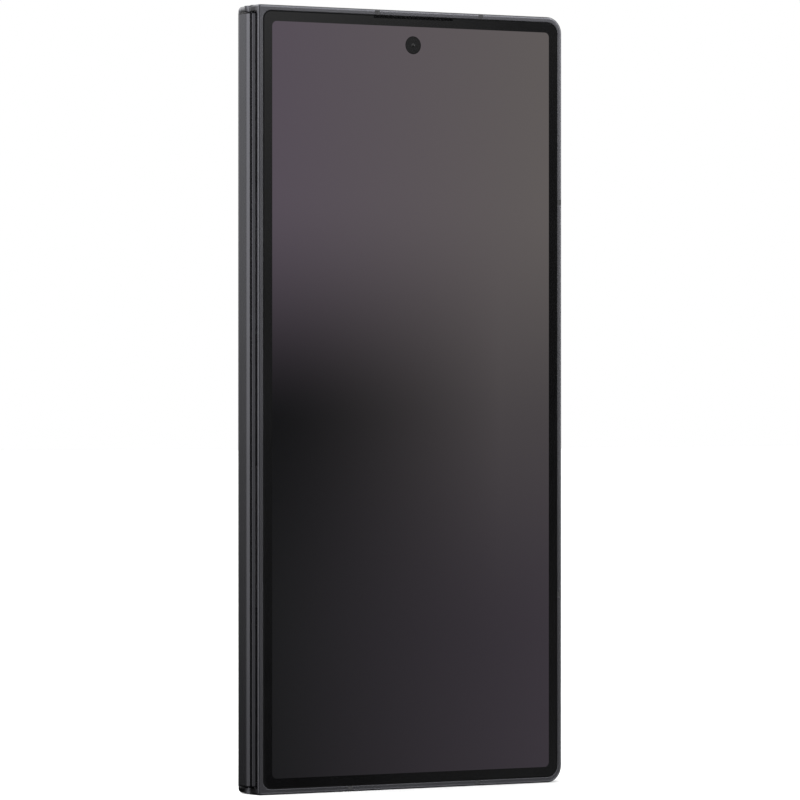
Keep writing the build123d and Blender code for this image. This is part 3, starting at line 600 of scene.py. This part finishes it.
def rounded_outline(x, z, radii, steps=10):
    """Points of a rounded rectangle in x and z; the corners run low left, low right, up right, up left."""
    corners = [(x[0], z[0], 180), (x[1], z[0], 270), (x[1], z[1], 0), (x[0], z[1], 90)]
    points = []
    for (cx, cz, start), radius in zip(corners, radii):
        inner_x = cx + radius if cx == x[0] else cx - radius
        inner_z = cz + radius if cz == z[0] else cz - radius
        for i in range(steps + 1):
            angle = math.radians(start + 90 * i / steps)
            points.append((inner_x + radius * math.cos(angle), inner_z + radius * math.sin(angle)))
    return points


def circle(cx, cz, radius, count=48):
    """Points of a circle in x and z."""
    return [
        (cx + radius * math.cos(2 * math.pi * i / count), cz + radius * math.sin(2 * math.pi * i / count))
        for i in range(count)
    ]


def loop(bm, points, y):
    """Closed loop of new vertices at the depth y (mm); gives its vertices and edges."""
    verts = [bm.verts.new((px * MM, y * MM, pz * MM)) for px, pz in points]
    edges = [bm.edges.new((verts[i], verts[(i + 1) % len(verts)])) for i in range(len(verts))]
    return verts, edges


def bridge(bm, lower, upper, index=0):
    """Quads between two loops with the same number of points."""
    for i in range(len(lower)):
        j = (i + 1) % len(lower)
        face = bm.faces.new((lower[i], lower[j], upper[j], upper[i]))
        face.material_index = index


def fill(bm, loops, index):
    """Flat fill between loops of edges."""
    edges = [e for group in loops for e in group]
    made = bmesh.ops.triangle_fill(bm, edges=edges, use_beauty=True, use_dissolve=False)
    for face in made["geom"]:
        if isinstance(face, bmesh.types.BMFace):
            face.material_index = index


def picture_uv(bm, x, z):
    """UV map that runs 0 to 1 over the lit picture."""
    layer = bm.loops.layers.uv.new("picture")
    for face in bm.faces:
        for corner in face.loops:
            co = corner.vert.co / MM
            corner[layer].uv = ((co.x - x[0]) / (x[1] - x[0]), (co.z - z[0]) / (z[1] - z[0]))


# ---------------------------------------------------------------- cover glass

low, high = node_box("cover_glass")
GLASS_X = (low[0], high[0])
GLASS_Z = (low[2], high[2])
GLASS_Y = (low[1], high[1])
camera_low, camera_high = node_box("cover_camera")
CAMERA_X = (camera_low[0] + camera_high[0]) / 2
CAMERA_Z = (camera_low[2] + camera_high[2]) / 2
grille_low, grille_high = node_box("earpiece_grille")
ACTIVE_X = (-32.02 + SHIFT_X, 33.24 + SHIFT_X)
ACTIVE_Z = (3.25, 155.15)
GLASS_EDGE = 0.12
EDGE_MID = 0.3
HINGE_RADIUS = 1.65
FAR_RADIUS = 2.25
ACTIVE_RADIUS = 1.0
NOTCH_GAP = 0.06
BORDER, PICTURE, HOLE_RIM, HOLE_WINDOW, GLASS_SIDE = range(5)
# radius and depth of each ring of the front camera, and the material slot from there to the next ring
CAMERA_RINGS = (
    (1.83, 0.0, HOLE_RIM),
    (1.66, 0.0, HOLE_WINDOW),
    (0.40, 0.0, HOLE_WINDOW),
    (0.39, 0.02, HOLE_WINDOW),
    (0.18, 0.006, HOLE_WINDOW),
    (0.07, 0.004, HOLE_WINDOW),
)


def glass_outline(inset):
    """Outline of the cover glass, set in by inset, with the earpiece's notch in its top edge."""
    x = (GLASS_X[0] + inset, GLASS_X[1] - inset)
    z = (GLASS_Z[0] + inset, GLASS_Z[1] - inset)
    near, far = HINGE_RADIUS - inset, FAR_RADIUS - inset
    points = rounded_outline(x, z, (near, far, far, near))
    left, right = grille_low[0] - NOTCH_GAP - inset, grille_high[0] + NOTCH_GAP + inset
    floor = grille_low[2] - NOTCH_GAP - inset
    notch = [(right, z[1]), (right, floor), (left, floor), (left, z[1])]
    split = 3 * len(points) // 4
    return points[:split] + notch + points[split:]


def build_cover_glass():
    """Cover glass with a ground edge, its lit picture and the front camera's rings in one mesh."""
    bm = bmesh.new()
    back, _ = loop(bm, glass_outline(0.0), GLASS_Y[1])
    side, _ = loop(bm, glass_outline(0.0), GLASS_Y[0] + GLASS_EDGE)
    mid, _ = loop(bm, glass_outline(GLASS_EDGE * EDGE_MID), GLASS_Y[0] + GLASS_EDGE * EDGE_MID)
    rim, rim_edges = loop(bm, glass_outline(GLASS_EDGE), GLASS_Y[0])
    bridge(bm, back, side, GLASS_SIDE)
    bridge(bm, side, mid, GLASS_SIDE)
    bridge(bm, mid, rim, GLASS_SIDE)
    active = rounded_outline(ACTIVE_X, ACTIVE_Z, (ACTIVE_RADIUS,) * 4)
    _, active_edges = loop(bm, active, GLASS_Y[0])
    rings = [loop(bm, circle(CAMERA_X, CAMERA_Z, r), GLASS_Y[0] + depth) for r, depth, _ in CAMERA_RINGS]
    fill(bm, [rim_edges, active_edges], BORDER)
    fill(bm, [active_edges, rings[0][1]], PICTURE)
    for outer, inner, (_, _, index) in zip(rings, rings[1:], CAMERA_RINGS):
        bridge(bm, outer[0], inner[0], index)
    bm.faces.new(rings[-1][0]).material_index = HOLE_WINDOW
    bm.faces.new(back[::-1]).material_index = BORDER
    bmesh.ops.recalc_face_normals(bm, faces=bm.faces)
    picture_uv(bm, ACTIVE_X, ACTIVE_Z)
    glass = new_object("cover_glass_lit", bm, [cover_black, cover_screen, hole_rim, hole_window, glue_and_gap_shade])
    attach(glass, "front_half")
    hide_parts("cover_glass")


build_cover_glass()


GLUE_WIDTH = 0.145
GLUE_DROP = 0.05
GLUE_BACK = 0.3
GLUE_LAP = 0.02


def build_glue_line(name, body, glass_node, outward):
    """Thin black bead in the gap between a pane of glass and its metal rim: adhesive, whose near-black
    colour also paints the gap's shade.
    """
    low, high = node_box(glass_node)
    face_y = (high if outward > 0 else low)[1]
    bm = bmesh.new()
    loops = []
    section = (
        (-GLUE_WIDTH, GLUE_DROP),
        (GLUE_LAP, GLUE_DROP),
        (GLUE_LAP, GLUE_BACK),
        (-GLUE_WIDTH, GLUE_BACK),
    )
    for inset, depth in section:
        x = (low[0] + inset, high[0] - inset)
        z = (low[2] + inset, high[2] - inset)
        near, far = HINGE_RADIUS - inset, FAR_RADIUS - inset
        outline = rounded_outline(x, z, (near, far, far, near))
        loops.append(loop(bm, outline, face_y - outward * depth)[0])
    for i in range(len(loops)):
        bridge(bm, loops[i], loops[(i + 1) % len(loops)])
    bmesh.ops.recalc_face_normals(bm, faces=bm.faces)
    bead = new_object(name, bm, [glue_and_gap_shade])
    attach(bead, body)


build_glue_line("cover_glue_line", "front_half", "cover_glass", -1)
build_glue_line("back_glue_line", "rear_half", "back_glass", 1)


# ---------------------------------------------------------------- main screen

FOLD_LENGTH = 5.5
FOLD_START_DEPTH = 0.35
FOLD_BACK_DEPTH = 0.70
FLAT_BACK_DEPTH = 0.75
FOLD_FLAT_X = -29.7 + SHIFT_X
FOLD_REACH = 3.4
FOLD_TILT = math.radians(15.0)
FOLD_STEPS = 32
BISECTIONS = 50
NOT_LIT = 999.0
ROUNDING = 0.001
SCREEN_Z = (node_box("main_display_fold")[0][2], node_box("main_display_fold")[1][2])
PICTURE_Z = (3.7, 154.7)
PICTURE_REACH = 68.0
SCREEN_EDGE_Z = (SCREEN_Z[0], PICTURE_Z[0], PICTURE_Z[1], SCREEN_Z[1])


def fold_share(x, depth):
    """Share of the bend that a point of the shut screen has made, 0 on the flat and 1 at the spine."""
    travel = (FOLD_FLAT_X - x) * math.cos(FOLD_TILT) + (FOLD_START_DEPTH - depth) * math.sin(FOLD_TILT)
    step = min(1.0, max(0.0, travel / FOLD_REACH))
    return step * step * (3 - 2 * step)


def fold_point(distance, layer):
    """x and depth, when shut, of a point of the open screen, distance mm from the fold's middle."""
    flat_x = AXIS_GAP - layer
    flat_y = distance - AXIS_GAP
    low_share, high_share = 0.0, 1.0
    for _ in range(BISECTIONS):
        share = (low_share + high_share) / 2
        angle = -(1 - share) * math.pi / 2
        x = AXIS_X + flat_x * math.cos(angle) - flat_y * math.sin(angle)
        depth = AXIS_GAP + flat_x * math.sin(angle) + flat_y * math.cos(angle)
        if fold_share(x, depth) > share:
            low_share = share
        else:
            high_share = share
    return x, depth


def sheet_mesh(name, profile, materials):
    """Screen sheet swept along z. profile is a closed ring of (x, y, picture distance).

    Only its middle row, between the picture's lower and upper edges, is lit.
    """
    bm = bmesh.new()
    layer = bm.loops.layers.uv.new("picture")
    rows = []
    for z in SCREEN_EDGE_Z:
        rows.append([bm.verts.new((x * MM, y * MM, z * MM)) for x, y, _ in profile])
    count = len(profile)
    for k in range(len(rows) - 1):
        for i in range(count):
            j = (i + 1) % count
            face = bm.faces.new((rows[k][i], rows[k][j], rows[k + 1][j], rows[k + 1][i]))
            in_reach = max(abs(profile[i][2]), abs(profile[j][2])) <= PICTURE_REACH + ROUNDING
            face.material_index = PICTURE if k == 1 and in_reach else BORDER
            z_low, z_high = SCREEN_EDGE_Z[k], SCREEN_EDGE_Z[k + 1]
            for corner, (p, z) in zip(face.loops, ((i, z_low), (j, z_low), (j, z_high), (i, z_high))):
                u = 0.5 + profile[p][2] / (2 * PICTURE_REACH)
                corner[layer].uv = (u, (z - PICTURE_Z[0]) / (PICTURE_Z[1] - PICTURE_Z[0]))
    bm.faces.new(rows[0])
    bm.faces.new(rows[-1][::-1])
    bmesh.ops.recalc_face_normals(bm, faces=bm.faces)
    return new_object(name, bm, materials)


def build_main_screen():
    """Flat part and half of the fold on each half of the phone; each fold half blends to the hinge."""
    screen_materials = [cover_black, main_screen]
    halves = (
        (-1, "front_half", "main_display_front"),
        (1, "rear_half", "main_display_rear"),
    )
    for sign, body, node in halves:
        far_x = node_box(node)[1][0]
        lit_x = FOLD_FLAT_X + PICTURE_REACH - FOLD_LENGTH
        inner, outer = FOLD_START_DEPTH, FLAT_BACK_DEPTH
        flat = [
            (FOLD_FLAT_X, inner, FOLD_LENGTH),
            (lit_x, inner, PICTURE_REACH),
            (far_x, inner, PICTURE_REACH + far_x - lit_x),
            (far_x, outer, NOT_LIT),
            (FOLD_FLAT_X, outer, NOT_LIT),
        ]
        profile = [(x, MID_Y + sign * d, -sign * s) for x, d, s in flat]
        obj = sheet_mesh(f"{node}_lit", profile, screen_materials)
        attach(obj, body)
        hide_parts(node)

        distances = [FOLD_LENGTH * i / FOLD_STEPS for i in range(FOLD_STEPS + 1)]
        front_face = [(*fold_point(s, FOLD_START_DEPTH), s) for s in distances]
        back_face = [(*fold_point(s, FOLD_BACK_DEPTH), NOT_LIT) for s in distances[::-1]]
        profile = [(x, MID_Y + sign * d, -sign * s) for x, d, s in front_face + back_face]
        fold = sheet_mesh(f"main_display_fold_{body}", profile, screen_materials)
        fold.data.shade_smooth()
        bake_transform(fold)
        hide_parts("main_display_fold")


build_main_screen()


# ---------------------------------------------------------------- rear lenses

LENS_PLAY = 0.01
LENS_SIDES = 64
LENS_GLASS, LENS_BAFFLE, LENS_ELEMENT = 0, 1, 2


def build_lenses():
    """A domed glass with a baffle and coated inner elements in each camera ring."""
    low, high = node_box("camera_lenses")
    radius = (high[0] - low[0]) / 2 - LENS_PLAY
    cx = (low[0] + high[0]) / 2
    centres = [low[2] + radius, (low[2] + high[2]) / 2, high[2] - radius]
    y_front, y_back = high[1], low[1]
    # radius and y of each ring, and the material slot of the band that ends at it
    steps = (
        (radius, y_back, LENS_GLASS),
        (radius, y_front - 0.05, LENS_GLASS),
        (radius - 0.05, y_front - 0.01, LENS_GLASS),
        (3.6, y_front, LENS_GLASS),
        (3.5, y_front - 0.16, LENS_BAFFLE),
        (2.5, y_front - 0.24, LENS_BAFFLE),
        (2.42, y_front - 0.30, LENS_GLASS),
        (1.7, y_front - 0.22, LENS_ELEMENT),
        (1.0, y_front - 0.15, LENS_ELEMENT),
        (0.35, y_front - 0.12, LENS_ELEMENT),
    )
    for i, cz in enumerate(centres):
        bm = bmesh.new()
        rings = [loop(bm, circle(cx, cz, r, LENS_SIDES), y)[0] for r, y, _ in steps]
        for k in range(len(rings) - 1):
            bridge(bm, rings[k], rings[k + 1], steps[k + 1][2])
        bm.faces.new(rings[-1]).material_index = LENS_ELEMENT
        bm.faces.new(rings[0][::-1])
        bmesh.ops.recalc_face_normals(bm, faces=bm.faces)
        lens = new_object(f"camera_lens_{i + 1}", bm, [lens_black, lens_iris, lens_coating])
        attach(lens, "rear_half")
        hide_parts("camera_lenses")


build_lenses()


# ---------------------------------------------------------------- studio

# Light levels by direction. A direction is a unit vector, so x, y and z run from -1 to 1. Each span says
# where a step starts and ends, and where it has four numbers, the value before and after it.
FRONT_LEVELS = (-0.12, 0.14, 0.16, 1.25)
BACK_LEVELS = (-0.09, 0.32, 0.025, 2.25)
FRONT_TO_BACK_Y = (-0.1, 0.5)

LEFT_DIM_X = (-0.75, -0.2, 0.3, 0.0)
LEFT_DIM_Y = (-0.3, 0.0, 1.0, 0.0)
PANEL_LEVELS = (-0.15, 0.19, 0.05, 2.7)
PANEL_AIM = (-0.99, 0.15)
PANEL_EDGE = (0.80, 0.90)

AWAY_X = (0.0, 0.35)
AWAY_Y = (0.0, 0.3)
AWAY_Z = (0.3, 0.6, 1.0, 0.0)
AWAY_LEVEL = 0.10

RIGHT_LEVELS = (0.1, 0.3, 0.15, 0.6)
RIGHT_X = (0.70, 0.80)
GLINT_NEAR_X = (0.60, 0.64)
GLINT_FAR_X = (0.68, 0.76, 1.0, 0.0)
GLINT_Y = (-0.4, -0.2, 1.0, 0.0)
GLINT_LEVELS = (0.01, 0.065, 1.0, 6.0)

CARD_CLIMB = 16.5
CARD_MIDDLE = 0.175
CARD_CURVE = 22.0
CARD_LEAST = 0.075
CARD_SPLIT_X = (0.475, 0.535)
CARD_NEAR_X = (0.42, 0.46)
CARD_FAR_X = (0.555, 0.60, 1.0, 0.0)
CARD_Z = (0.08, 0.12, 1.0, 0.0)
CARD_Y = (-0.3, 0.0, 1.0, 0.0)

WHITE = (1, 1, 1, 1)


def product(tree, first, *others):
    """All the values multiplied together."""
    for other in others:
        first = tree.math("MULTIPLY", first, other)
    return first


def room_level(tree, x, y, z):
    """Dim room that brightens upwards, with a soft panel at the left and a thin light at the right."""
    front = smooth_step(tree, z, *FRONT_LEVELS)
    behind = smooth_step(tree, z, *BACK_LEVELS)
    room = blend_values(tree, smooth_step(tree, y, *FRONT_TO_BACK_Y), front, behind)

    dim_side = product(tree, smooth_step(tree, x, *LEFT_DIM_X), smooth_step(tree, y, *LEFT_DIM_Y))
    room = product(tree, room, tree.math("SUBTRACT", 1.0, dim_side))
    toward_panel = tree.math("MULTIPLY_ADD", y, PANEL_AIM[1], tree.math("MULTIPLY", x, PANEL_AIM[0]))
    panel = smooth_step(tree, z, *PANEL_LEVELS)
    room = blend_values(tree, smooth_step(tree, toward_panel, *PANEL_EDGE), room, panel)

    away = product(
        tree,
        smooth_step(tree, x, *AWAY_X),
        smooth_step(tree, y, *AWAY_Y),
        smooth_step(tree, z, *AWAY_Z),
    )
    room = blend_values(tree, away, room, AWAY_LEVEL)
    right = smooth_step(tree, y, *RIGHT_LEVELS)
    room = blend_values(tree, smooth_step(tree, x, *RIGHT_X), room, right)
    glint = product(
        tree,
        smooth_step(tree, x, *GLINT_NEAR_X),
        smooth_step(tree, x, *GLINT_FAR_X),
        smooth_step(tree, y, *GLINT_Y),
    )
    return blend_values(tree, glint, room, smooth_step(tree, z, *GLINT_LEVELS))


def card_level(tree, x, z):
    """Light of the card that the cover glass mirrors: it climbs on one side and is even on the other."""
    climbing = tree.math("EXPONENT", tree.math("MULTIPLY", z, CARD_CLIMB))
    climbing = tree.math("MULTIPLY", climbing, CARD_MIDDLE)
    bowed = tree.math("MULTIPLY", tree.math("MULTIPLY", z, z), CARD_CURVE)
    even = tree.math("ADD", bowed, CARD_LEAST)
    return blend_values(tree, smooth_step(tree, x, *CARD_SPLIT_X), climbing, even)


def build_world():
    """White backdrop for the camera; for light and gloss, the dim room with the card in it."""
    tree = Tree("studio", bpy.data.worlds)
    bpy.context.scene.world = tree.owner
    tree.nodes.clear()
    split = tree.nodes.new("ShaderNodeSeparateXYZ")
    tree.links.new(tree.nodes.new("ShaderNodeTexCoord").outputs["Generated"], split.inputs["Vector"])
    x, y, z = (split.outputs[axis] for axis in "XYZ")

    inside_card = product(
        tree,
        smooth_step(tree, x, *CARD_NEAR_X),
        smooth_step(tree, x, *CARD_FAR_X),
        smooth_step(tree, tree.math("ABSOLUTE", z), *CARD_Z),
        smooth_step(tree, y, *CARD_Y),
    )
    level = blend_values(tree, inside_card, room_level(tree, x, y, z), card_level(tree, x, z))

    lit = tree.add("ShaderNodeBackground", Color=WHITE, Strength=level)
    seen = tree.add("ShaderNodeBackground", Color=WHITE, Strength=1.0)
    mix = tree.nodes.new("ShaderNodeMixShader")
    tree.links.new(tree.nodes.new("ShaderNodeLightPath").outputs["Is Camera Ray"], mix.inputs["Fac"])
    tree.links.new(lit.outputs["Background"], mix.inputs[1])
    tree.links.new(seen.outputs["Background"], mix.inputs[2])
    output = tree.nodes.new("ShaderNodeOutputWorld")
    tree.links.new(mix.outputs["Shader"], output.inputs["Surface"])


FLOOR_HALF = 6.0
FLOOR_DROP = 0.00002


def build_floor():
    """Plain pale floor, kept out of the reflections so that the phone's lower part stays dark."""
    bm = bmesh.new()
    bmesh.ops.create_grid(bm, x_segments=2, y_segments=2, size=FLOOR_HALF)
    tree = Tree("studio_floor")
    cloud = tree.noise(tree.coordinates(), 6.0, 2.0)
    tone = tree.mix(cloud, (0.90, 0.90, 0.90, 1.0), (0.93, 0.93, 0.93, 1.0))
    paper = tree.set(Base_Color=tone, Roughness=0.9, Specular_IOR_Level=0.1)
    floor = new_object("studio_floor", bm, [paper])
    floor.location.z = -FLOOR_DROP
    floor.visible_glossy = False


def softbox(name, position, target, size, power):
    """Rectangular area light, mm, aimed at a point."""
    data = bpy.data.lights.new(name, "AREA")
    data.shape = "RECTANGLE"
    data.size, data.size_y = size[0] * MM, size[1] * MM
    data.energy = power
    lamp = bpy.data.objects.new(name, data)
    lamp.location = Vector(position) * MM
    lamp.rotation_mode = "QUATERNION"
    lamp.rotation_quaternion = (Vector(target) - Vector(position)).to_track_quat("-Z", "Y")
    lamp.visible_glossy = False
    bpy.context.scene.collection.objects.link(lamp)


LENS_MM = 224.43
CAMERA_AZIMUTH = 30.217
CAMERA_DISTANCE = 1019.3
CAMERA_ASIDE = 0.164
CAMERA_HEIGHT = 79.15


def build_camera():
    """Level camera on the spine's side of the cover screen, aimed just beside the phone's middle."""
    data = bpy.data.cameras.new("camera")
    data.sensor_width = 36.0
    data.lens = LENS_MM
    camera = bpy.data.objects.new("camera", data)
    turn = math.radians(CAMERA_AZIMUTH)
    ahead = Vector((math.sin(turn), math.cos(turn), 0.0))
    aside = Vector((math.cos(turn), -math.sin(turn), 0.0))
    middle = Vector((SHIFT_X, MID_Y, CAMERA_HEIGHT))
    camera.location = (middle - CAMERA_DISTANCE * ahead + CAMERA_ASIDE * aside) * MM
    camera.rotation_mode = "QUATERNION"
    camera.rotation_quaternion = ahead.to_track_quat("-Z", "Y")
    data.clip_start, data.clip_end = 0.01, 50.0
    bpy.context.scene.collection.objects.link(camera)
    bpy.context.scene.camera = camera


build_world()
build_floor()
softbox("key", (-500, -700, 900), (0, 0, 90), (700, 500), 9.0)
softbox("side", (-600, 700, 500), (-30, 0, 110), (300, 500), 6.0)
build_camera()
bpy.context.scene.view_settings.view_transform = "Standard"
